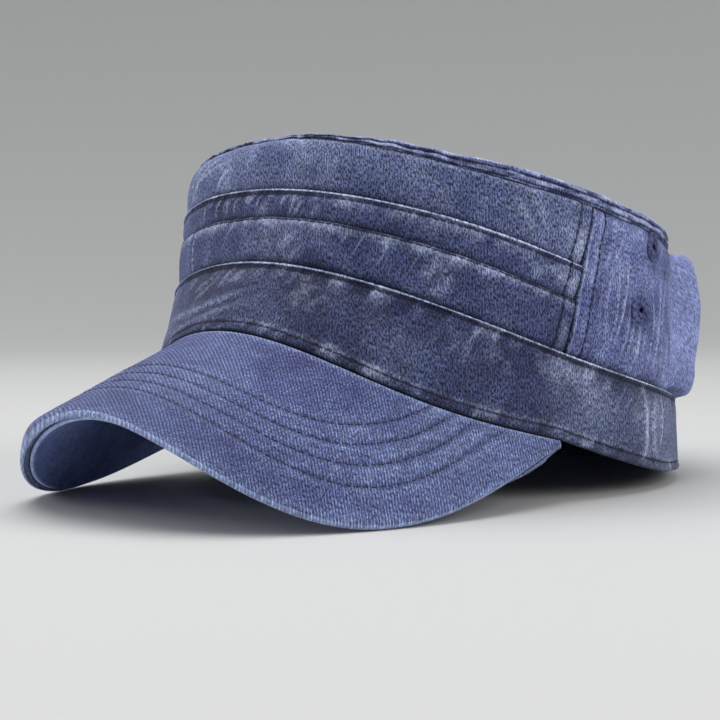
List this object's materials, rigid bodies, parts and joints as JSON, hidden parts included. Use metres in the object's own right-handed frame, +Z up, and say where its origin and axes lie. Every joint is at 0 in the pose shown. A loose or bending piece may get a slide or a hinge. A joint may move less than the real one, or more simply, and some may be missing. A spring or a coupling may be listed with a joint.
{
  "type": "cadet cap",
  "caption": "Flat-topped cadet cap of washed blue cotton twill: tucked front, band, side panels with eyelets, puffed back and a curved peak.",
  "frame": {"origin": "centre of the cap's bounding box, on the surface it lies on", "axes": "+Z up from the surface, +Y from the peak to the back, +X the wearer's left"},
  "size_m": [0.1716, 0.2564, 0.1184],
  "materials": {
    "washed_twill": "matt washed cotton twill, mottled blue",
    "worn_twill": "matt washed cotton twill, paler where it is worn",
    "dark_twill": "matt cotton twill, dark navy underside",
    "thread": "dark navy embroidery thread"
  },
  "bodies": {
    "root": {"band": "washed_twill", "front_lower": "washed_twill", "front_middle": "washed_twill", "front_upper": "washed_twill", "side_panel_left": "washed_twill", "side_panel_right": "washed_twill", "back_panel": "worn_twill", "crown_welt": "worn_twill", "top_panel": "washed_twill", "peak_cover": "worn_twill", "peak_lining": "dark_twill", "eyelet_left_upper": "thread", "eyelet_left_lower": "thread", "eyelet_right_upper": "thread", "eyelet_right_lower": "thread"}
  },
  "joints": []
}
